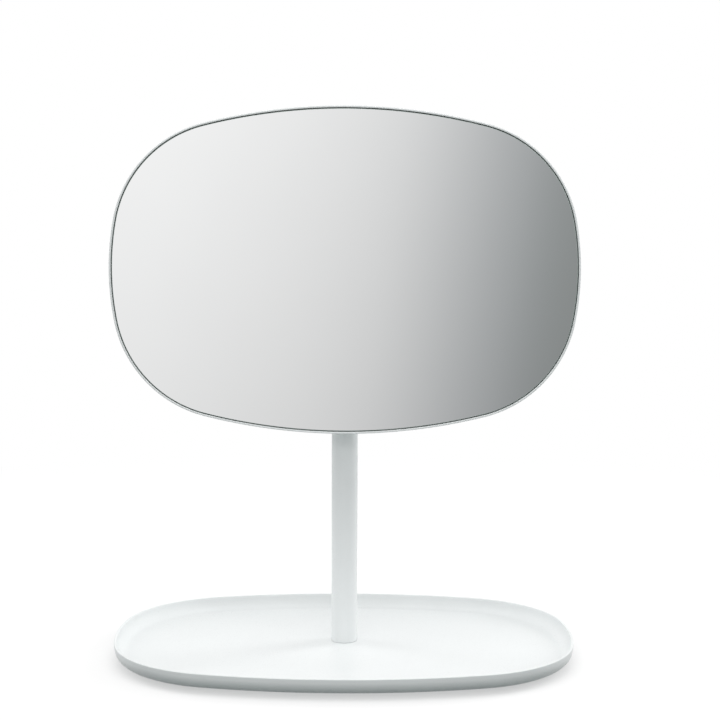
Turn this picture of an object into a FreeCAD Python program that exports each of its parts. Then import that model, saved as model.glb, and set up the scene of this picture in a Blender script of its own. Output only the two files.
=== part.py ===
import FreeCAD, Part
import math
import os

# A table mirror: an oval mirror that tilts on a round post, standing in a shallow tray of the same outline.
# Sizes are in millimetres and degrees. X points right, Y back and Z up, from under the middle of the tray.

# The oval that tray and mirror share: eight arcs, each side standing out past its corners by its crown,
# and the centres of the corners this far above and below the middle
oval_half_width = 140.0
oval_half_height = 97.5
corner_above = 16.8
long_side_crown = 8.2
short_side_crown = 1.55

# Tray, pressed from sheet
tray_sheet = 1.5
tray_height = 10.0
tray_bend = 8.0
tray_lip = 0.5

# Stick-on feet, one in each quarter of the tray's underside
foot_height = 2.5
foot_radius = 7.0
foot_edge = 0.6
foot_from_end = 52.0
foot_from_side = 36.5

# Post tube, behind the tray's middle
post_radius = 8.0
post_wall = 1.5
post_chamfer = 0.3
post_behind = 14.0

# Tapped plug in the tube's lower end, the bolt that holds it from below and the pin that stops it turning
plug_length = 25.0
base_screw_radius = 3.0
base_screw_bite = 14.0
base_screw_tap = 18.0
base_head_radius = 8.5
base_head_height = 2.0
base_head_edge = 0.5
base_socket_flats = 4.0
base_socket_depth = 2.6
pin_radius = 1.0
pin_offset = 4.75
pin_bite = 6.0

# Hinge: its axis lies across the post at the height of the mirror's middle
tilt_height = 236.0
forward_tilt = 5.0
head_shoulder = 13.0
spigot_length = 22.0
slot_corner = 1.5
cheek_web = 2.2
pocket_radius = 4.5
head_edge = 0.3

# Hinge screw with its disc spring, washer and thin nut
hinge_screw_radius = 2.0
hinge_head_radius = 3.5
hinge_head_height = 1.6
hinge_socket_flats = 2.5
hinge_socket_depth = 1.2
spring_sheet = 0.4
spring_cone = 0.25
spring_radius = 4.0
washer_sheet = 0.5
washer_radius = 4.0
nut_flats = 7.0
nut_height = 2.2
nut_chamfer = 0.4
screw_tip = 0.5

# Bracket on the mirror's back, with a friction bush in each side of its eye
flange_radius = 22.0
flange_thickness = 4.0
flange_edge = 1.0
lug_thickness = 4.0
eye_radius = 5.5
lug_root = 2.0
lug_edge = 0.5
bush_radius = 3.0
bush_flange_radius = 5.0
bush_flange = 0.6

# Screws from inside the shell into the bracket
bracket_screw_count = 3
bracket_screw_circle = 14.0
bracket_screw_radius = 2.0
bracket_screw_bite = 2.6
bracket_tap_depth = 3.0
bracket_head_radius = 4.0
bracket_head_height = 1.8
bracket_socket_flats = 2.5
bracket_socket_depth = 1.2

# Mirror shell, pressed from sheet, and the glass stuck in it
mirror_front = 14.0
shell_sheet = 1.2
shell_depth = 8.0
shell_bend = 5.0
shell_lip = 0.48
glass_thickness = 4.0
glass_recess = 0.3
glass_arris = 0.3
pad_length = 60.0
pad_width = 20.0
pad_corner = 2.0
pad_from_end = 85.0
pad_from_side = 52.5

# Every screw's end
screw_chamfer = 0.4

# Clearances
press_gap = 0.02
run_gap = 0.05
side_gap = 0.1
stop_gap = 0.2
screw_gap = 0.2
swing_gap = 0.4
glass_gap = 0.4

# Places that several pieces share
corner_radius = oval_half_height - long_side_crown - corner_above
floor_top = foot_height + tray_sheet
foot_aside = oval_half_width - foot_from_end
foot_along = oval_half_height - foot_from_side
pad_aside = oval_half_width - pad_from_end
pad_above = oval_half_height - pad_from_side
tube_top = tilt_height - head_shoulder
tube_bore = post_radius - post_wall
shell_back = shell_depth - mirror_front
hinge_reach = post_behind - shell_back
pad_thickness = shell_depth - shell_sheet - glass_thickness - glass_recess
inner_bend = shell_bend - shell_sheet
bend_above_glass_back = max(inner_bend - pad_thickness - glass_arris, 0)
bend_reach = inner_bend - math.sqrt(inner_bend ** 2 - bend_above_glass_back ** 2)
glass_inset = shell_sheet + bend_reach + glass_gap
slot_half = lug_thickness / 2 + bush_flange + side_gap
pocket_floor = slot_half + cheek_web
spring_height = spring_sheet + spring_cone
tilt_angle = math.radians(forward_tilt)
sill_drop = eye_radius / math.cos(tilt_angle) + post_radius * math.tan(tilt_angle) + stop_gap

Vec = FreeCAD.Vector
right = Vec(1, 0, 0)
left = Vec(-1, 0, 0)
up = Vec(0, 0, 1)
post_foot = Vec(0, post_behind, floor_top)
hinge = Vec(0, post_behind, tilt_height)
touch = 1e-4
full_turn = 360.0
hex_sides = 6


def side_radius(half_span, crown):
    # Radius of the side that stands out by its crown and runs smoothly into corners this far apart
    return (half_span ** 2 + (corner_radius + crown) ** 2 - corner_radius ** 2) / (2 * crown)


def oval_wire(inset):
    corner_centre = Vec(oval_half_width - short_side_crown - corner_radius, corner_above, 0)
    long_radius = side_radius(corner_centre.x, long_side_crown)
    short_radius = side_radius(corner_centre.y, short_side_crown)
    long_centre = Vec(0, oval_half_height - long_radius, 0)
    short_centre = Vec(oval_half_width - short_radius, 0, 0)

    # The arcs of one quarter meet where the lines through their centres cross the outline
    long_way = (corner_centre - long_centre).normalize()
    short_way = (corner_centre - short_centre).normalize()
    corner_way = (long_way + short_way).normalize()
    long_end = long_centre + long_way * (long_radius - inset)
    short_end = short_centre + short_way * (short_radius - inset)
    corner_mid = corner_centre + corner_way * (corner_radius - inset)

    def mirrored(point, side, rise):
        return Vec(point.x * side, point.y * rise, 0)

    edges = []
    for sign in (1, -1):
        top = Vec(0, sign * (oval_half_height - inset), 0)
        end = Vec(sign * (oval_half_width - inset), 0, 0)
        edges.append(Part.Arc(mirrored(long_end, -1, sign), top, mirrored(long_end, 1, sign)).toShape())
        edges.append(Part.Arc(mirrored(short_end, sign, 1), end, mirrored(short_end, sign, -1)).toShape())
        for rise in (1, -1):
            corner = [mirrored(point, sign, rise) for point in (long_end, corner_mid, short_end)]
            edges.append(Part.Arc(*corner).toShape())
    return Part.Wire(Part.__sortEdges__(edges))


def oval_plate(inset, thickness, level):
    plate = Part.Face(oval_wire(inset)).extrude(up * thickness)
    plate.translate(up * level)
    return plate


def edges_at(shape, level):
    return [edge for edge in shape.Edges
            if abs(edge.BoundBox.ZMin - level) < touch and abs(edge.BoundBox.ZMax - level) < touch]


def dish(depth, sheet, bend, lip):
    # Open above, with its floor's underside at level 0
    outer = oval_plate(0, depth, 0)
    outer = outer.makeFillet(bend, edges_at(outer, 0))
    inner = oval_plate(sheet, depth, sheet)
    inner = inner.makeFillet(bend - sheet, edges_at(inner, sheet))
    pressed = outer.cut(inner)
    return pressed.makeFillet(lip, edges_at(pressed, depth))


def placed(shape, base, axis):
    shape.Placement = FreeCAD.Placement(base, FreeCAD.Rotation(up, axis))
    return shape


def turned(profile, base, axis):
    # Revolves (radius, height) points about the axis through the base point
    points = [Vec(radius, 0, height) for radius, height in profile]
    face = Part.Face(Part.makePolygon(points + points[:1]))
    return placed(face.revolve(Vec(0, 0, 0), up, full_turn), base, axis)


def ring_of(count, first):
    # Points spread evenly round the vertical, from the first one on
    return [FreeCAD.Rotation(up, step * full_turn / count).multVec(first) for step in range(count)]


def hex_corner(flats):
    return flats / 2 / math.cos(math.pi / hex_sides)


def hexagon(flats, height, base, axis):
    points = ring_of(hex_sides, right * hex_corner(flats))
    face = Part.Face(Part.makePolygon(points + points[:1]))
    return placed(face.extrude(up * height), base, axis)


def on_mirror(shape):
    # Stands a shape, drawn lying with the mirror facing up, at the mirror's place
    shape.rotate(Vec(0, 0, 0), right, full_turn / 4)
    shape.translate(Vec(0, shell_back, tilt_height))
    return shape


def tray():
    pressed = dish(tray_height, tray_sheet, tray_bend, tray_lip)
    pressed.translate(up * foot_height)
    under = Vec(0, post_behind, foot_height)
    pressed = pressed.cut(Part.makeCylinder(base_screw_radius + screw_gap, tray_sheet, under, up))
    pin_hole = Part.makeCylinder(pin_radius + press_gap, tray_sheet, under + right * pin_offset, up)
    return pressed.cut(pin_hole)


def foot(aside, along):
    pad = Part.makeCylinder(foot_radius, foot_height, Vec(aside, along, 0), up)
    return pad.makeFillet(foot_edge, edges_at(pad, 0))


def post_tube():
    length = tube_top - floor_top
    inner_edge = post_radius - post_chamfer
    profile = [(tube_bore, 0), (inner_edge, 0), (post_radius, post_chamfer),
               (post_radius, length - post_chamfer), (inner_edge, length), (tube_bore, length)]
    return turned(profile, post_foot, up)


def foot_plug():
    plug = Part.makeCylinder(tube_bore - press_gap, plug_length, post_foot, up)
    plug = plug.cut(Part.makeCylinder(base_screw_radius + press_gap, base_screw_tap, post_foot, up))
    pin_place = post_foot + right * pin_offset
    return plug.cut(Part.makeCylinder(pin_radius + press_gap, pin_bite + stop_gap, pin_place, up))


def locating_pin():
    base = Vec(pin_offset, post_behind, foot_height)
    return Part.makeCylinder(pin_radius, tray_sheet + pin_bite, base, up)


def base_screw():
    base = Vec(0, post_behind, foot_height - base_head_height)
    end = base_head_height + tray_sheet + base_screw_bite
    profile = [(0, 0), (base_head_radius - base_head_edge, 0), (base_head_radius, base_head_edge),
               (base_head_radius, base_head_height), (base_screw_radius, base_head_height),
               (base_screw_radius, end - screw_chamfer), (base_screw_radius - screw_chamfer, end), (0, end)]
    return turned(profile, base, up).cut(hexagon(base_socket_flats, base_socket_depth, base, up))


def hinge_head():
    # A knuckle as wide as the tube, round on top and concentric with the hinge, on a spigot in the tube
    body = Part.makeCylinder(post_radius, head_shoulder, Vec(0, post_behind, tube_top), up)
    body = body.fuse(Part.makeSphere(post_radius, hinge))
    spigot_foot = Vec(0, post_behind, tube_top - spigot_length)
    spigot = Part.makeCylinder(tube_bore - press_gap, spigot_length, spigot_foot, up)
    body = body.fuse(spigot).removeSplitter()

    # The slot is open in front and above, and its sill and back wall stop the lug
    slot_depth = post_radius + eye_radius + swing_gap
    slot = Part.makeBox(2 * slot_half, slot_depth, sill_drop + post_radius,
                        Vec(-slot_half, post_behind - post_radius, tilt_height - sill_drop))
    slot_back = post_behind + eye_radius + swing_gap
    low_back = [edge for edge in edges_at(slot, tilt_height - sill_drop)
                if abs(edge.BoundBox.YMin - slot_back) < touch]
    body = body.cut(slot.makeFillet(slot_corner, low_back))

    hole_start = hinge + left * post_radius
    body = body.cut(Part.makeCylinder(hinge_screw_radius + run_gap, 2 * post_radius, hole_start, right))
    for side in (right, left):
        body = body.cut(Part.makeCylinder(pocket_radius, post_radius, hinge + side * pocket_floor, side))

    # Edges where the outside meets the slot, the pockets and the shoulder are eased
    rims = [edge for edge in body.Edges
            if sum(is_outside(face) for face in body.ancestorsOfType(edge, Part.Face)) == 1]
    return body.makeChamfer(head_edge, rims)


def is_outside(face):
    surface = face.Surface
    return isinstance(surface, (Part.Cylinder, Part.Sphere)) and abs(surface.Radius - post_radius) < touch


def hinge_screw():
    seat = pocket_floor + spring_height
    end = pocket_floor + washer_sheet + nut_height + screw_tip
    top = seat + hinge_head_height
    profile = [(0, -end), (hinge_screw_radius - screw_chamfer, -end),
               (hinge_screw_radius, screw_chamfer - end), (hinge_screw_radius, seat),
               (hinge_head_radius, seat), (hinge_head_radius, top), (0, top)]
    socket_floor = top - hinge_socket_depth
    socket = hexagon(hinge_socket_flats, hinge_socket_depth, hinge + right * socket_floor, right)
    return turned(profile, hinge, right).cut(socket)


def disc_spring():
    bore = hinge_screw_radius + run_gap
    profile = [(bore, spring_cone), (spring_radius, 0),
               (spring_radius, spring_sheet), (bore, spring_height)]
    return turned(profile, hinge + right * pocket_floor, right)


def hinge_washer():
    bore = hinge_screw_radius + run_gap
    profile = [(bore, 0), (washer_radius, 0), (washer_radius, washer_sheet), (bore, washer_sheet)]
    return turned(profile, hinge + left * pocket_floor, left)


def hinge_nut():
    base = hinge + left * (pocket_floor + washer_sheet)
    corner = hex_corner(nut_flats)
    bevelled = [(hinge_screw_radius + press_gap, 0), (corner, 0), (corner, nut_height - nut_chamfer),
                (nut_flats / 2, nut_height), (hinge_screw_radius + press_gap, nut_height)]
    return hexagon(nut_flats, nut_height, base, left).common(turned(bevelled, base, left))


def mirror_shell():
    pressed = dish(shell_depth, shell_sheet, shell_bend, shell_lip)
    for spot in bracket_screw_spots():
        pressed = pressed.cut(Part.makeCylinder(bracket_screw_radius + screw_gap, shell_sheet, spot, up))
    return on_mirror(pressed)


def bracket_screw_spots():
    # On the shell's back, the first one straight above the middle
    return ring_of(bracket_screw_count, Vec(0, bracket_screw_circle, 0))


def hinge_bracket():
    flange = Part.makeCylinder(flange_radius, flange_thickness, up * -flange_thickness, up)
    flange = flange.makeFillet(flange_edge, edges_at(flange, -flange_thickness))
    lug = Part.makeBox(lug_thickness, 2 * eye_radius, hinge_reach - flange_thickness,
                       Vec(-lug_thickness / 2, -eye_radius, -hinge_reach))
    eye_start = Vec(-lug_thickness / 2, 0, -hinge_reach)
    lug = lug.fuse(Part.makeCylinder(eye_radius, lug_thickness, eye_start, right)).removeSplitter()
    outline = [edge for edge in lug.Edges
               if edge.BoundBox.XLength < touch and edge.BoundBox.ZMin < -flange_thickness - touch]
    lug = lug.makeFillet(lug_edge, outline)
    bracket = flange.fuse(lug).removeSplitter()
    root = [edge for edge in edges_at(bracket, -flange_thickness) if edge.BoundBox.YLength < flange_radius]
    bracket = bracket.makeFillet(lug_root, root)
    bracket = bracket.cut(Part.makeCylinder(bush_radius + press_gap, lug_thickness, eye_start, right))
    for spot in bracket_screw_spots():
        tap_end = spot - up * bracket_tap_depth
        tap = Part.makeCylinder(bracket_screw_radius + press_gap, bracket_tap_depth, tap_end, up)
        bracket = bracket.cut(tap)
    return on_mirror(bracket)


def bush(side):
    bore = hinge_screw_radius + run_gap
    cheek = lug_thickness / 2
    profile = [(bore, side_gap), (bush_radius, side_gap), (bush_radius, cheek), (bush_flange_radius, cheek),
               (bush_flange_radius, cheek + bush_flange), (bore, cheek + bush_flange)]
    return turned(profile, hinge, side)


def bracket_screws():
    end = -bracket_screw_bite
    top = shell_sheet + bracket_head_height
    profile = [(0, end), (bracket_screw_radius - screw_chamfer, end),
               (bracket_screw_radius, end + screw_chamfer), (bracket_screw_radius, shell_sheet),
               (bracket_head_radius, shell_sheet), (bracket_head_radius, top), (0, top)]
    screws = []
    for spot in bracket_screw_spots():
        socket_floor = spot + up * (top - bracket_socket_depth)
        socket = hexagon(bracket_socket_flats, bracket_socket_depth, socket_floor, up)
        screws.append(on_mirror(turned(profile, spot, up).cut(socket)))
    return Part.makeCompound(screws)


def mirror_glass():
    # Set in from the shell's wall so that its back edge clears the bend
    level = shell_sheet + pad_thickness
    pane = oval_plate(glass_inset, glass_thickness, level)
    pane = pane.makeChamfer(glass_arris, edges_at(pane, level) + edges_at(pane, level + glass_thickness))
    return on_mirror(pane)


def adhesive_pad(aside, above):
    corner = Vec(aside - pad_length / 2, above - pad_width / 2, shell_sheet)
    pad = Part.makeBox(pad_length, pad_width, pad_thickness, corner)
    upright = [edge for edge in pad.Edges if edge.BoundBox.ZLength > pad_thickness - touch]
    return on_mirror(pad.makeFillet(pad_corner, upright))


nodes = {
    "tray": tray(),
    "post_tube": post_tube(),
    "post_foot_plug": foot_plug(),
    "locating_pin": locating_pin(),
    "base_screw": base_screw(),
    "hinge_head": hinge_head(),
    "hinge_screw": hinge_screw(),
    "disc_spring": disc_spring(),
    "hinge_washer": hinge_washer(),
    "hinge_nut": hinge_nut(),
    "mirror_shell": mirror_shell(),
    "hinge_bracket": hinge_bracket(),
    "bush_right": bush(right),
    "bush_left": bush(left),
    "bracket_screws": bracket_screws(),
    "mirror_glass": mirror_glass(),
}
for side_name, side in (("left", -1), ("right", 1)):
    for end_name, end in (("front", -1), ("rear", 1)):
        nodes["foot_%s_%s" % (end_name, side_name)] = foot(side * foot_aside, end * foot_along)
    for level_name, rise in (("lower", -1), ("upper", 1)):
        pad_name = "adhesive_pad_%s_%s" % (level_name, side_name)
        nodes[pad_name] = adhesive_pad(side * pad_aside, rise * pad_above)

os.makedirs("parts", exist_ok=True)
for name, shape in nodes.items():
    shape.exportStep("parts/%s.step" % name)
    state = "valid" if shape.isValid() else "not valid"
    print(name, len(shape.Solids), "solids", round(shape.Volume, 1), "mm3", state)
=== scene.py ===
import math
import bmesh
import bpy
from mathutils import Matrix, Vector


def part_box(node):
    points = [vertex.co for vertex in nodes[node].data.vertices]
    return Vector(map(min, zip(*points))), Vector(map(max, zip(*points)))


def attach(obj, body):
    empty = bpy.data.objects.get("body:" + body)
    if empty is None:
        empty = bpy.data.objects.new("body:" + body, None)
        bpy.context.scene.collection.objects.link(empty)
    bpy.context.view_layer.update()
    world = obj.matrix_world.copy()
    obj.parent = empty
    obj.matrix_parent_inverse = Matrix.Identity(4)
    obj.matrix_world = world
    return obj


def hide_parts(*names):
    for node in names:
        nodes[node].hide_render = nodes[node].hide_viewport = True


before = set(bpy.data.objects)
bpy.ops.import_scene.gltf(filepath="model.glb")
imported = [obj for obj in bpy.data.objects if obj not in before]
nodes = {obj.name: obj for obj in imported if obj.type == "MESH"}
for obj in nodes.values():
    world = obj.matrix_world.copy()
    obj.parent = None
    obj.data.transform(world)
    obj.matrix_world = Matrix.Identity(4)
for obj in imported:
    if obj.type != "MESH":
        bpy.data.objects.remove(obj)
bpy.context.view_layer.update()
mm = 0.001
# heights and radii closer than this count as the same
hair = 0.1 * mm
print("frame loaded:", len(nodes), "nodes")


def boxOf(node):
    low, high = (Vector(corner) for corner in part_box(node))
    return low, high, (low + high) / 2


# finishes

def newFinish(name):
    material = bpy.data.materials.new(name)
    material.use_nodes = True
    tree = material.node_tree
    return material, tree, tree.nodes["Principled BSDF"]


def addNode(tree, kind, **values):
    node = tree.nodes.new("ShaderNode" + kind)
    for key, value in values.items():
        if key in node.inputs:
            node.inputs[key].default_value = value
        else:
            setattr(node, key, value)
    return node


def addNoise(tree, scale, detail=2.0, grit=0.5):
    place = addNode(tree, "TexCoord")
    noise = addNode(tree, "TexNoise", Scale=scale, Detail=detail, Roughness=grit)
    tree.links.new(place.outputs["Object"], noise.inputs["Vector"])
    return noise.outputs["Fac"]


def addRamp(tree, source, stops, kind="LINEAR"):
    ramp = addNode(tree, "ValToRGB")
    tree.links.new(source, ramp.inputs["Fac"])
    ramp.color_ramp.interpolation = kind
    points = ramp.color_ramp.elements
    while len(points) < len(stops):
        points.new(0.5)
    for point, (place, colour) in zip(points, stops):
        point.position = place
        point.color = (*colour, 1.0)
    return ramp.outputs["Color"]


def twoTone(look):
    return list(zip(look["stops"], (look["dark"], look["light"])))


def addRange(tree, source, low, high, fromLow=0.3, fromHigh=0.7):
    spread = addNode(tree, "MapRange")
    tree.links.new(source, spread.inputs["Value"])
    for socket, value in zip(("From Min", "From Max", "To Min", "To Max"), (fromLow, fromHigh, low, high)):
        spread.inputs[socket].default_value = value
    return spread.outputs["Result"]


def addBump(tree, source, depth, strength, under=None):
    bump = addNode(tree, "Bump", Strength=strength, Distance=depth)
    tree.links.new(source, bump.inputs["Height"])
    if under:
        tree.links.new(under, bump.inputs["Normal"])
    return bump.outputs["Normal"]


coat = {
    "light": (0.857, 0.882, 0.882), "dark": (0.838, 0.862, 0.863), "stops": (0.35, 0.65),
    "mottleScale": 14, "mottleDetail": 4,
    # painted shade in the corners: its grey, its strength and the occlusion span it covers
    "cornerShadeGrey": (0.73, 0.745, 0.745), "dust": 0.22, "cornerShadeSpan": (0.35, 0.85),
    "cornerReach": 5 * mm, "cornerRays": 8,
    "peelScale": 320, "peelDepth": 0.04 * mm,
    "grainScale": 1500, "grainDetail": 3, "grit": 0.6, "grainDepth": 0.012 * mm,
    "rough": (0.26, 0.34), "relief": 0.5,
}


def whiteCoat():
    material, tree, shader = newFinish("whiteCoat")
    # slow drift of the white, greyed by painted shade in the corners that the occlusion node finds
    drift = addRamp(tree, addNoise(tree, coat["mottleScale"], coat["mottleDetail"]), twoTone(coat))
    corner = addNode(tree, "AmbientOcclusion", Distance=coat["cornerReach"], samples=coat["cornerRays"],
                     only_local=True)
    # painted shade: the colour turns grey where ambient occlusion finds a nearby surface
    cornerShading = addRange(tree, corner.outputs["AO"], coat["dust"], 0.0, *coat["cornerShadeSpan"])
    cornerShaded = addNode(tree, "Mix", data_type="RGBA")
    tree.links.new(cornerShading, cornerShaded.inputs["Factor"])
    tree.links.new(drift, cornerShaded.inputs["A"])
    cornerShaded.inputs["B"].default_value = (*coat["cornerShadeGrey"], 1)
    tree.links.new(cornerShaded.outputs["Result"], shader.inputs["Base Color"])
    # orange peel under a fine grain
    peel = addNoise(tree, coat["peelScale"])
    grain = addNoise(tree, coat["grainScale"], coat["grainDetail"], coat["grit"])
    tree.links.new(addRange(tree, grain, *coat["rough"]), shader.inputs["Roughness"])
    under = addBump(tree, peel, coat["peelDepth"], coat["relief"])
    relief = addBump(tree, grain, coat["grainDepth"], coat["relief"], under)
    tree.links.new(relief, shader.inputs["Normal"])
    return material


silver = {
    "light": (0.93, 0.935, 0.935), "dim": 0.992, "stops": (0.3, 0.7), "scale": 22, "tintDetail": 3,
    "haze": 0.012, "hazeDetail": 5,
}


def silverFace():
    material, tree, shader = newFinish("silverFace")
    shader.inputs["Metallic"].default_value = 1.0
    dimmed = tuple(part * silver["dim"] for part in silver["light"])
    tint = addRamp(tree, addNoise(tree, silver["scale"], silver["tintDetail"]),
                   list(zip(silver["stops"], (silver["light"], dimmed))))
    tree.links.new(tint, shader.inputs["Base Color"])
    wiped = addRange(tree, addNoise(tree, silver["scale"], silver["hazeDetail"]), 0.0, silver["haze"])
    tree.links.new(wiped, shader.inputs["Roughness"])
    return material


plating = {
    "light": (0.66, 0.67, 0.68), "dark": (0.56, 0.57, 0.57), "stops": (0.35, 0.65),
    "scale": 420, "detail": 4, "grit": 0.6, "rough": (0.22, 0.36),
    "fineScale": 2600, "depth": 0.01 * mm, "relief": 0.5,
}


def zincSteel():
    material, tree, shader = newFinish("zincSteel")
    shader.inputs["Metallic"].default_value = 1.0
    spots = addNoise(tree, plating["scale"], plating["detail"], plating["grit"])
    tree.links.new(addRamp(tree, spots, twoTone(plating)), shader.inputs["Base Color"])
    tree.links.new(addRange(tree, spots, *plating["rough"]), shader.inputs["Roughness"])
    fine = addNoise(tree, plating["fineScale"])
    tree.links.new(addBump(tree, fine, plating["depth"], plating["relief"]), shader.inputs["Normal"])
    return material


foam = {
    "light": (0.075, 0.075, 0.08), "dark": (0.035, 0.035, 0.04), "stops": (0.1, 0.7),
    "cellScale": 2200, "rough": (0.75, 0.9), "depth": 0.08 * mm, "relief": 0.6,
}


def padFoam():
    material, tree, shader = newFinish("padFoam")
    place = addNode(tree, "TexCoord")
    cells = addNode(tree, "TexVoronoi", Scale=foam["cellScale"])
    tree.links.new(place.outputs["Object"], cells.inputs["Vector"])
    apart = cells.outputs["Distance"]
    tree.links.new(addRamp(tree, apart, twoTone(foam)), shader.inputs["Base Color"])
    tree.links.new(addRange(tree, apart, *foam["rough"], 0, 1), shader.inputs["Roughness"])
    tree.links.new(addBump(tree, apart, foam["depth"], foam["relief"]), shader.inputs["Normal"])
    return material


groundEdge = {
    "light": (0.58, 0.65, 0.62), "dark": (0.42, 0.50, 0.47), "stops": (0.3, 0.7),
    "scale": 700, "detail": 3, "grit": 0.5, "rough": (0.2, 0.34), "depth": 0.02 * mm, "relief": 0.4,
}
backing = {
    "light": (0.19, 0.20, 0.21), "dark": (0.15, 0.155, 0.165), "stops": (0.35, 0.65),
    "scale": 160, "detail": 4, "grit": 0.5, "rough": (0.5, 0.62), "depth": 0.03 * mm, "relief": 0.4,
}
rubber = {
    "light": (0.62, 0.62, 0.60), "dark": (0.55, 0.55, 0.53), "stops": (0.35, 0.65),
    "scale": 900, "detail": 4, "grit": 0.6, "rough": (0.62, 0.78), "depth": 0.03 * mm, "relief": 0.5,
}
acetal = {
    "light": (0.83, 0.83, 0.80), "dark": (0.80, 0.80, 0.765), "stops": (0.35, 0.65),
    "scale": 500, "detail": 3, "grit": 0.5, "rough": (0.34, 0.44), "depth": 0.01 * mm, "relief": 0.4,
}


def grainyFinish(name, look):
    # one grain drives the colour, the sheen and the relief
    material, tree, shader = newFinish(name)
    grain = addNoise(tree, look["scale"], look["detail"], look["grit"])
    tree.links.new(addRamp(tree, grain, twoTone(look)), shader.inputs["Base Color"])
    tree.links.new(addRange(tree, grain, *look["rough"]), shader.inputs["Roughness"])
    tree.links.new(addBump(tree, grain, look["depth"], look["relief"]), shader.inputs["Normal"])
    return material


white = whiteCoat()
silverMat = silverFace()
edgeMat = grainyFinish("glassEdge", groundEdge)
backMat = grainyFinish("backPaint", backing)
zinc = zincSteel()
rubberMat = grainyFinish("footRubber", rubber)
bushMat = grainyFinish("bushPlastic", acetal)
foamMat = padFoam()
print("finishes made")


# mesh helpers

def finishPiece(name, bm, materials, body, slot, *stoodFor):
    bmesh.ops.recalc_face_normals(bm, faces=bm.faces[:])
    mesh = bpy.data.meshes.new(name)
    bm.to_mesh(mesh)
    bm.free()
    for material in materials:
        mesh.materials.append(material)
    piece = bpy.data.objects.new(name, mesh)
    bpy.context.scene.collection.objects.link(piece)
    # flat faces keep their flat shading beside rounded edges
    piece.modifiers.new("evenShading", "WEIGHTED_NORMAL")
    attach(piece, body)
    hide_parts(*stoodFor)
    return piece


def shadeSmooth(bm):
    for face in bm.faces:
        face.smooth = True


def roundEdges(bm, edges, radius, segments):
    bmesh.ops.bevel(bm, geom=edges, offset=radius, offset_type="OFFSET", segments=segments, profile=0.5,
                    affect="EDGES", material=-1, clamp_overlap=True)


def sharpEdges(bm, degrees=60):
    bm.normal_update()
    return [edge for edge in bm.edges if len(edge.link_faces) == 2
            and edge.calc_face_angle(0) > math.radians(degrees)]


weld = {"turned": 0.0001 * mm, "oval": 0.02 * mm}


def turn(bm, profile, steps, closed=False):
    # profile of (radius, height) pairs about the z axis
    points = [bm.verts.new((radius, 0, height)) for radius, height in profile]
    pairs = list(zip(points, points[1:] + (points[:1] if closed else [])))
    lines = [bm.edges.new(pair) for pair in pairs]
    bmesh.ops.spin(bm, geom=points + lines, cent=(0, 0, 0), axis=(0, 0, 1), angle=math.tau, steps=steps,
                   use_merge=True)
    bmesh.ops.remove_doubles(bm, verts=bm.verts[:], dist=weld["turned"])
    bmesh.ops.recalc_face_normals(bm, faces=bm.faces[:])


def moveTo(bm, place, axis=(0, 0, 1)):
    way = Vector((0, 0, 1)).rotation_difference(Vector(axis)).to_matrix()
    bmesh.ops.rotate(bm, verts=bm.verts[:], cent=(0, 0, 0), matrix=way)
    bmesh.ops.translate(bm, verts=bm.verts[:], vec=place)


def drawOn(bm, edges, move=(0, 0, 0), size=1.0):
    # carries a loop of edges on, pulling faces behind it
    made = bmesh.ops.extrude_edge_only(bm, edges=edges)["geom"]
    points = {item for item in made if isinstance(item, bmesh.types.BMVert)}
    bmesh.ops.scale(bm, verts=list(points), vec=(size, size, 1))
    bmesh.ops.translate(bm, verts=list(points), vec=move)
    return [edge for edge in bm.edges if points.issuperset(edge.verts)]


# the oval: where its corner centres lie, and how far each side stands out past its corners
oval = {
    "cornerAbove": 16.8 * mm, "longCrown": 8.2 * mm, "shortCrown": 1.55 * mm,
    "longSteps": 70, "shortSteps": 26, "cornerSteps": 36, "holeSteps": 48,
}


def ovalLoop(bm, halfWidth, halfHeight, inset):
    def sideRadius(halfSpan, crown):
        return (halfSpan ** 2 + (corner + crown) ** 2 - corner ** 2) / (2 * crown)

    corner = halfHeight - oval["longCrown"] - oval["cornerAbove"]
    bend = Vector((halfWidth - oval["shortCrown"] - corner, oval["cornerAbove"], 0))
    longRadius = sideRadius(bend.x, oval["longCrown"])
    shortRadius = sideRadius(bend.y, oval["shortCrown"])
    longHalf = math.asin(bend.x / (longRadius - corner))
    shortHalf = math.asin(bend.y / (shortRadius - corner))
    bendSweep = math.pi / 2 - longHalf - shortHalf
    far = Vector((0, halfHeight - longRadius, 0))
    end = Vector((halfWidth - shortRadius, 0, 0))

    # clockwise from the middle of the far long side, one spin for each arc
    # the first and the last arc share that side
    arcs = [(far, longHalf, oval["longSteps"] // 2)]
    for side, share in ((1, 1), (-1, 2)):
        arcs += [(bend * side, bendSweep, oval["cornerSteps"]),
                 (end * side, 2 * shortHalf, oval["shortSteps"]),
                 (Vector((bend.x * side, -bend.y * side, 0)), bendSweep, oval["cornerSteps"]),
                 (far * -side, 2 * longHalf / share, oval["longSteps"] // share)]
    last = bm.verts.new((0, halfHeight - inset, 0))
    for centre, sweep, steps in arcs:
        made = bmesh.ops.spin(bm, geom=[last], cent=centre, axis=(0, 0, 1), angle=-sweep, steps=steps)
        last = [item for item in made["geom_last"] if isinstance(item, bmesh.types.BMVert)][0]
    bmesh.ops.remove_doubles(bm, verts=bm.verts[:], dist=weld["oval"])
    return bm.edges[:]


def pierce(bm, holes):
    # the floor is filled again around its holes
    floor = max(bm.faces, key=lambda face: face.calc_area())
    edges = floor.edges[:]
    bmesh.ops.delete(bm, geom=[floor], context="FACES_ONLY")
    for place, radius in holes:
        spot = Matrix.Translation((place.x, place.y, 0))
        ring = bmesh.ops.create_circle(bm, segments=oval["holeSteps"], radius=radius, matrix=spot)["verts"]
        edges += dict.fromkeys(edge for corner in ring for edge in corner.link_edges)
    bmesh.ops.triangle_fill(bm, use_beauty=True, use_dissolve=True, edges=edges, normal=(0, 0, 1))


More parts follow.
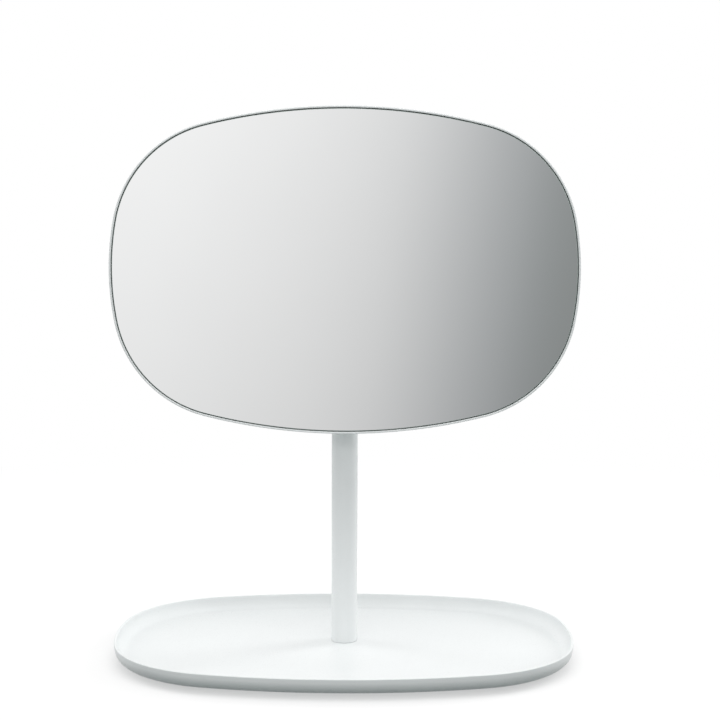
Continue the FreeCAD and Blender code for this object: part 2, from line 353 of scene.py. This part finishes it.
def pressedDish(halfWidth, halfHeight, depth, size, holes):
    # a floor with a wall drawn up round it, bent along the join, then given the sheet's thickness
    bm = bmesh.new()
    edges = ovalLoop(bm, halfWidth, halfHeight, 0)
    bmesh.ops.contextual_create(bm, geom=edges)
    drawn = bmesh.ops.extrude_edge_only(bm, edges=edges)["geom"]
    rim = [item for item in drawn if isinstance(item, bmesh.types.BMVert)]
    bmesh.ops.translate(bm, verts=rim, vec=(0, 0, depth))
    roundEdges(bm, edges, size["bend"], size["bendSteps"])
    pierce(bm, holes)
    bmesh.ops.recalc_face_normals(bm, faces=bm.faces[:])
    if min(bm.faces, key=lambda face: face.calc_center_median().z).normal.z > 0:
        bmesh.ops.reverse_faces(bm, faces=bm.faces[:])
    bmesh.ops.solidify(bm, geom=bm.faces[:], thickness=size["sheet"])
    lip = [edge for edge in sharpEdges(bm) if min(v.co.z for v in edge.verts) > depth - hair]
    roundEdges(bm, lip, size["lip"], size["lipSteps"])
    shadeSmooth(bm)
    return bm


# tray

tray = {
    "sheet": 1.5 * mm, "bend": 8 * mm, "bendSteps": 14, "lip": 0.5 * mm, "lipSteps": 4,
    "holes": {"base_screw": 3.2 * mm, "locating_pin": 1.02 * mm},
}


def makeTray():
    low, high, middle = boxOf("tray")
    holes = [(boxOf(node)[2] - middle, radius) for node, radius in tray["holes"].items()]
    bm = pressedDish((high.x - low.x) / 2, (high.y - low.y) / 2, high.z - low.z, tray, holes)
    moveTo(bm, (middle.x, middle.y, low.z))
    finishPiece("trayDish", bm, [white], "base", "white_coat", "tray")


makeTray()
print("tray pressed")


# feet: a soft button with a shallow cup in its face, stuck up against the tray

foot = {
    "cupRadius": 4.2 * mm, "cupDepth": 0.35 * mm, "shoulder": 0.4 * mm, "steps": 72,
    "sharp": 25, "edge": 0.22 * mm, "edgeSteps": 4,
}


def makeFoot(node):
    low, high, middle = boxOf(node)
    radius = (high.x - low.x) / 2
    height = high.z - low.z
    cup = foot["cupRadius"]
    rise = foot["cupDepth"]
    bm = bmesh.new()
    turn(bm, [(0, rise), (cup, rise), (cup + rise, 0),
              (radius - foot["shoulder"], 0), (radius, height), (0, height)], foot["steps"])
    roundEdges(bm, sharpEdges(bm, foot["sharp"]), foot["edge"], foot["edgeSteps"])
    shadeSmooth(bm)
    moveTo(bm, (middle.x, middle.y, low.z))
    name = "rubber" + "".join(word.capitalize() for word in node.split("_"))
    finishPiece(name, bm, [rubberMat], "base", "foot_rubber", node)


for end in ("front", "rear"):
    for side in ("left", "right"):
        makeFoot("foot_%s_%s" % (end, side))
print("feet stuck on")


# post tube

post = {"wall": 1.5 * mm, "steps": 128, "edge": 0.5 * mm, "edgeSteps": 3}


def makePost():
    low, high, middle = boxOf("post_tube")
    radius = (high.x - low.x) / 2
    bore = radius - post["wall"]
    length = high.z - low.z
    bm = bmesh.new()
    turn(bm, [(bore, 0), (radius, 0), (radius, length), (bore, length)], post["steps"], True)
    outer = [edge for edge in sharpEdges(bm) if edge.verts[0].co.to_2d().length > radius - hair]
    roundEdges(bm, outer, post["edge"], post["edgeSteps"])
    shadeSmooth(bm)
    moveTo(bm, (middle.x, middle.y, low.z))
    finishPiece("postTube", bm, [white], "base", "white_coat", "post_tube")


makePost()
print("post stood up")


# mirror shell and glass: drawn lying face up, then stood facing the front

shell = {
    "sheet": 1.2 * mm, "bend": 5 * mm, "bendSteps": 12, "lip": 0.48 * mm, "lipSteps": 4,
    "holes": 3, "holeCircle": 14 * mm, "holeRadius": 2.2 * mm,
}
front = (0, -1, 0)


def makeShell():
    low, high, middle = boxOf("mirror_shell")
    holes = []
    for part in range(shell["holes"]):
        spoke = Matrix.Rotation(math.tau * part / shell["holes"], 3, "Z")
        holes.append((spoke @ Vector((0, shell["holeCircle"], 0)), shell["holeRadius"]))
    bm = pressedDish((high.x - low.x) / 2, (high.z - low.z) / 2, high.y - low.y, shell, holes)
    moveTo(bm, (middle.x, high.y, middle.z), front)
    finishPiece("mirrorShell", bm, [white], "mirror_head", "white_coat", "mirror_shell")


pane = {"arris": 0.3 * mm, "arrisSteps": 1, "flat": 0.99}


def makePane():
    shellLow, shellHigh, middle = boxOf("mirror_shell")
    low, high, _ = boxOf("mirror_glass")
    bm = bmesh.new()
    edges = ovalLoop(bm, (shellHigh.x - shellLow.x) / 2, (shellHigh.z - shellLow.z) / 2, low.x - shellLow.x)
    sheet = bmesh.ops.contextual_create(bm, geom=edges)["faces"]
    raised = bmesh.ops.extrude_face_region(bm, geom=sheet, use_keep_orig=True)["geom"]
    top = [item for item in raised if isinstance(item, bmesh.types.BMVert)]
    bmesh.ops.translate(bm, verts=top, vec=(0, 0, high.y - low.y))
    bmesh.ops.recalc_face_normals(bm, faces=bm.faces[:])
    roundEdges(bm, sharpEdges(bm), pane["arris"], pane["arrisSteps"])
    bmesh.ops.recalc_face_normals(bm, faces=bm.faces[:])
    # silver in front, paint behind, ground edge between
    for face in bm.faces:
        lies = abs(face.normal.z) > pane["flat"]
        face.smooth = not lies
        face.material_index = (0 if face.normal.z > 0 else 2) if lies else 1
    moveTo(bm, (middle.x, high.y, middle.z), front)
    finishPiece("mirrorPane", bm, [silverMat, edgeMat, backMat], "mirror_head", "silvered_glass",
                "mirror_glass")


makeShell()
makePane()
print("mirror hung")


# foam pads that hold the glass, squeezed so that their sides swell

pad = {"corner": 2 * mm, "cornerSteps": 8, "swell": 0.42, "swellSteps": 6, "fill": 0.9}


def makePad(node):
    low, high, middle = boxOf(node)
    bm = bmesh.new()
    bmesh.ops.create_cube(bm, size=1)
    bmesh.ops.scale(bm, verts=bm.verts[:], vec=high - low)
    through = [edge for edge in bm.edges if abs(edge.verts[0].co.y - edge.verts[1].co.y) > hair]
    roundEdges(bm, through, pad["corner"], pad["cornerSteps"])
    rims = [edge for edge in sharpEdges(bm) if abs(edge.verts[0].co.y - edge.verts[1].co.y) < hair]
    roundEdges(bm, rims, (high.y - low.y) * pad["swell"], pad["swellSteps"])
    shadeSmooth(bm)
    moveTo(bm, middle)
    name = "foam" + "".join(word.capitalize() for word in node.split("_")[1:])
    piece = finishPiece(name, bm, [foamMat], "mirror_head", "pad_foam", node)


for level in ("lower", "upper"):
    for side in ("left", "right"):
        makePad("adhesive_pad_%s_%s" % (level, side))
print("pads squeezed in")


# screws with a hexagon socket, drawn with the head's face on top

baseBolt = {"headHeight": 2 * mm, "edge": 0.6 * mm, "shank": 3 * mm, "tip": 0.4 * mm,
            "flats": 4 * mm, "socket": 2.6 * mm, "mouth": 0.18 * mm}
tiltScrew = {"headHeight": 1.6 * mm, "edge": 0.35 * mm, "shank": 2 * mm, "tip": 0.4 * mm,
             "flats": 2.5 * mm, "socket": 1.2 * mm, "mouth": 0.12 * mm}
drive = {"sides": 6, "cuts": 9, "edgeSteps": 5, "mouthSteps": 2}


def socketScrew(size, radius, length):
    bm = bmesh.new()
    bmesh.ops.create_circle(bm, segments=drive["sides"], radius=size["flats"] / math.sqrt(3))
    bmesh.ops.subdivide_edges(bm, edges=bm.edges[:], cuts=drive["cuts"])
    mouth = bm.edges[:]
    bmesh.ops.contextual_create(bm, geom=drawOn(bm, mouth, (0, 0, -size["socket"])))
    # the rim has as many points as the socket's mouth
    corners = bmesh.ops.create_circle(bm, segments=len(mouth), radius=radius)["verts"]
    rim = list({edge for corner in corners for edge in corner.link_edges})
    bmesh.ops.bridge_loops(bm, edges=mouth + rim)
    under = drawOn(bm, rim, (0, 0, -size["headHeight"]))
    neck = drawOn(bm, under, size=size["shank"] / radius)
    shank = drawOn(bm, neck, (0, 0, size["headHeight"] + size["tip"] - length))
    tip = drawOn(bm, shank, (0, 0, -size["tip"]), 1 - size["tip"] / size["shank"])
    bmesh.ops.contextual_create(bm, geom=tip)
    bmesh.ops.recalc_face_normals(bm, faces=bm.faces[:])
    roundEdges(bm, rim, size["edge"], drive["edgeSteps"])
    roundEdges(bm, [edge for edge in mouth if edge.is_valid], size["mouth"], drive["mouthSteps"])
    shadeSmooth(bm)
    return bm


def makeScrews():
    low, high, middle = boxOf("base_screw")
    bm = socketScrew(baseBolt, (high.x - low.x) / 2, high.z - low.z)
    moveTo(bm, (middle.x, middle.y, low.z), (0, 0, -1))
    finishPiece("baseBolt", bm, [zinc], "base", "zinc_steel", "base_screw")
    low, high, middle = boxOf("hinge_screw")
    bm = socketScrew(tiltScrew, (high.z - low.z) / 2, high.x - low.x)
    moveTo(bm, (high.x, middle.y, middle.z), (1, 0, 0))
    finishPiece("tiltScrew", bm, [zinc], "base", "zinc_steel", "hinge_screw")


makeScrews()
print("screws driven")


# the CAD pieces whose shape stays, with their finishes
dressed = {
    "hinge_head": white, "hinge_bracket": white,
    "post_foot_plug": zinc, "locating_pin": zinc, "disc_spring": zinc,
    "hinge_washer": zinc, "hinge_nut": zinc, "bracket_screws": zinc,
    "bush_left": bushMat, "bush_right": bushMat,
}
for node, material in dressed.items():
    slots = nodes[node].data.materials
    slots.clear()
    slots.append(material)
print("hardware dressed")


# stage: a pale table under wide soft lamps, in a white room with a darker corner to the camera's right

# all spans are parts of a unit direction, and the wall's stops lie along its x
room = {
    "white": 1.0, "ceiling": 0.7, "ceilingSpan": (0.35, 0.65),
    "front": 0.79, "sides": 0.58, "frontSpan": (-0.6, -0.2),
    "wall": [(-0.6, (0.74, 0.74, 0.74)), (-0.16, (0.94, 0.94, 0.94)), (-0.072, (0.84, 0.84, 0.84)),
             (0.013, (0.725, 0.725, 0.725)), (0.084, (0.33, 0.345, 0.355)), (0.142, (0.195, 0.21, 0.2)),
             (0.25, (0.6, 0.6, 0.6)), (0.6, (0.88, 0.88, 0.88))],
    "wallSpan": (-0.3, 0.1), "reach": 0.6, "slant": 0.14, "level": -0.075,
    "shades": (0.92, 1.08), "shadeSpan": (-0.16, 0.025),
}


def seenRays(tree):
    # rays from the eye, those that reach it by a reflection or through glass, and both together
    ray = addNode(tree, "LightPath")
    direct = ray.outputs["Is Camera Ray"]
    mirrored = addNode(tree, "Math", operation="ADD", use_clamp=True)
    tree.links.new(ray.outputs["Is Glossy Ray"], mirrored.inputs[0])
    tree.links.new(ray.outputs["Is Transmission Ray"], mirrored.inputs[1])
    seen = addNode(tree, "Math", operation="ADD", use_clamp=True)
    tree.links.new(direct, seen.inputs[0])
    tree.links.new(mirrored.outputs[0], seen.inputs[1])
    return direct, mirrored.outputs[0], seen.outputs[0]


def addPlain(tree, direct, tone):
    # white to the eye, and the given tone in reflections
    plain = addNode(tree, "Math", operation="MAXIMUM")
    tree.links.new(tone, plain.inputs[0])
    tree.links.new(direct, plain.inputs[1])
    return plain.outputs[0]


def makeRoom():
    world = bpy.data.worlds.new("room")
    bpy.context.scene.world = world
    world.use_nodes = True
    tree = world.node_tree
    way = addNode(tree, "SeparateXYZ")
    tree.links.new(addNode(tree, "TexCoord").outputs["Generated"], way.inputs["Vector"])
    # the wall behind the camera darkens to the right and a little downwards
    slant = addNode(tree, "Math", operation="MULTIPLY_ADD")
    tree.links.new(way.outputs["Z"], slant.inputs[0])
    slant.inputs[1].default_value = -room["slant"]
    tree.links.new(way.outputs["X"], slant.inputs[2])
    shift = room["slant"] * -room["level"]
    across = addRange(tree, slant.outputs[0], 0, 1, shift - room["reach"], shift + room["reach"])
    stops = [(place / (room["reach"] * 2) + 0.5, colour) for place, colour in room["wall"]]
    wall = addRamp(tree, across, stops, "B_SPLINE")
    shade = addRange(tree, way.outputs["Z"], *room["shades"], *room["shadeSpan"])
    shaded = addNode(tree, "VectorMath", operation="SCALE")
    tree.links.new(wall, shaded.inputs["Vector"])
    tree.links.new(shade, shaded.inputs["Scale"])
    # elsewhere white to the eye, under a greyer ceiling in reflections, and dimmer as a light
    direct, mirrored, seen = seenRays(tree)
    lit = addRange(tree, way.outputs["Y"], room["front"], room["sides"], *room["frontSpan"])
    ceiling = addRange(tree, way.outputs["Z"], room["white"], room["ceiling"], *room["ceilingSpan"])
    around = addNode(tree, "Mix", data_type="RGBA")
    tree.links.new(seen, around.inputs["Factor"])
    tree.links.new(lit, around.inputs["A"])
    tree.links.new(addPlain(tree, direct, ceiling), around.inputs["B"])
    # the wall only ever shows in reflections
    behind = addNode(tree, "Math", operation="MULTIPLY")
    tree.links.new(addRange(tree, way.outputs["Y"], 1, 0, *room["wallSpan"]), behind.inputs[0])
    tree.links.new(mirrored, behind.inputs[1])
    whole = addNode(tree, "Mix", data_type="RGBA")
    tree.links.new(behind.outputs[0], whole.inputs["Factor"])
    tree.links.new(around.outputs["Result"], whole.inputs["A"])
    tree.links.new(shaded.outputs["Vector"], whole.inputs["B"])
    tree.links.new(whole.outputs["Result"], tree.nodes["Background"].inputs["Color"])


lamps = {
    "overhead": {"size": (1.5, 1.1), "place": (0, -0.2, 1.5), "power": 7.5, "mirrored": True},
    "fill": {"size": (1.4, 0.5), "place": (0, -1.6, 0.95), "power": 3.1, "mirrored": False},
    "rearLeft": {"size": (0.5, 0.7), "place": (-1.1, 0.55, 0.5), "power": 3.6, "mirrored": False},
    "rearRight": {"size": (0.5, 0.7), "place": (1.1, 0.55, 0.5), "power": 5.8, "mirrored": False},
}
lampAim = Vector((0, 0, 0.1))


def makeLamps():
    for name, lamp in lamps.items():
        data = bpy.data.lights.new(name, "AREA")
        data.shape = "RECTANGLE"
        data.size, data.size_y = lamp["size"]
        data.energy = lamp["power"]
        stand = bpy.data.objects.new(name, data)
        stand.visible_glossy = lamp["mirrored"]
        away = Vector(lamp["place"]) - lampAim
        facing = away.to_track_quat("Z", "Y").to_matrix().to_4x4()
        stand.matrix_world = Matrix.Translation(lamp["place"]) @ facing
        bpy.context.scene.collection.objects.link(stand)


table = {
    "front": -0.8, "back": 3.0, "side": 2.5, "drop": 0.05 * mm, "rough": 0.9,
    "bounced": (0.10, 0.13, 0.127), "mirrored": 0.7, "lift": 0.5, "fadeSpan": (0.25, 0.7),
}


def makeTable():
    bm = bmesh.new()
    bmesh.ops.create_grid(bm, x_segments=1, y_segments=1, size=1)
    depth = (table["back"] - table["front"]) / 2
    bmesh.ops.scale(bm, verts=bm.verts[:], vec=(table["side"], depth, 1))
    bmesh.ops.translate(bm, verts=bm.verts[:], vec=(0, table["front"] + depth, -table["drop"]))
    mesh = bpy.data.meshes.new("table")
    bm.to_mesh(mesh)
    bm.free()
    top = bpy.data.objects.new("table", mesh)
    bpy.context.scene.collection.objects.link(top)
    # white to the eye and grey to the light that bounces
    # further off it fades into the room, and is greyer in reflections
    material, tree, shader = newFinish("tableTop")
    shader.inputs["Roughness"].default_value = table["rough"]
    shader.inputs["Specular IOR Level"].default_value = 0.0
    direct, _, seen = seenRays(tree)
    away = addNode(tree, "VectorMath", operation="LENGTH")
    tree.links.new(addNode(tree, "TexCoord").outputs["Object"], away.inputs[0])
    fade = addRange(tree, away.outputs["Value"], table["lift"], 1, *table["fadeSpan"])
    greyer = addRange(tree, away.outputs["Value"], 1, table["mirrored"], *table["fadeSpan"])
    tone = addNode(tree, "Mix", data_type="RGBA")
    tree.links.new(seen, tone.inputs["Factor"])
    tone.inputs["A"].default_value = (*table["bounced"], 1)
    tree.links.new(addPlain(tree, direct, greyer), tone.inputs["B"])
    tree.links.new(tone.outputs["Result"], shader.inputs["Base Color"])
    glow = addNode(tree, "Emission")
    tree.links.new(tone.outputs["Result"], glow.inputs["Color"])
    mixed = addNode(tree, "MixShader")
    tree.links.new(fade, mixed.inputs["Fac"])
    tree.links.new(shader.outputs["BSDF"], mixed.inputs[1])
    tree.links.new(glow.outputs["Emission"], mixed.inputs[2])
    tree.links.new(mixed.outputs["Shader"], tree.nodes["Material Output"].inputs["Surface"])
    mesh.materials.append(material)


camera = {
    "focal": 1770, "picture": 720, "sensor": 36.0, "down": 6.79, "roll": 0.21,
    "place": (9.2 * mm, -1061.7 * mm, 307.9 * mm),
}


def makeCamera():
    data = bpy.data.cameras.new("camera")
    data.sensor_width = camera["sensor"]
    data.lens = camera["focal"] / camera["picture"] * camera["sensor"]
    seat = bpy.data.objects.new("camera", data)
    pitch = Matrix.Rotation(math.radians(90 - camera["down"]), 4, "X")
    roll = Matrix.Rotation(math.radians(camera["roll"]), 4, "Z")
    seat.matrix_world = Matrix.Translation(camera["place"]) @ pitch @ roll
    bpy.context.scene.collection.objects.link(seat)
    bpy.context.scene.camera = seat


makeRoom()
makeLamps()
makeTable()
makeCamera()
bpy.context.scene.view_settings.view_transform = "Standard"
print("stage set")
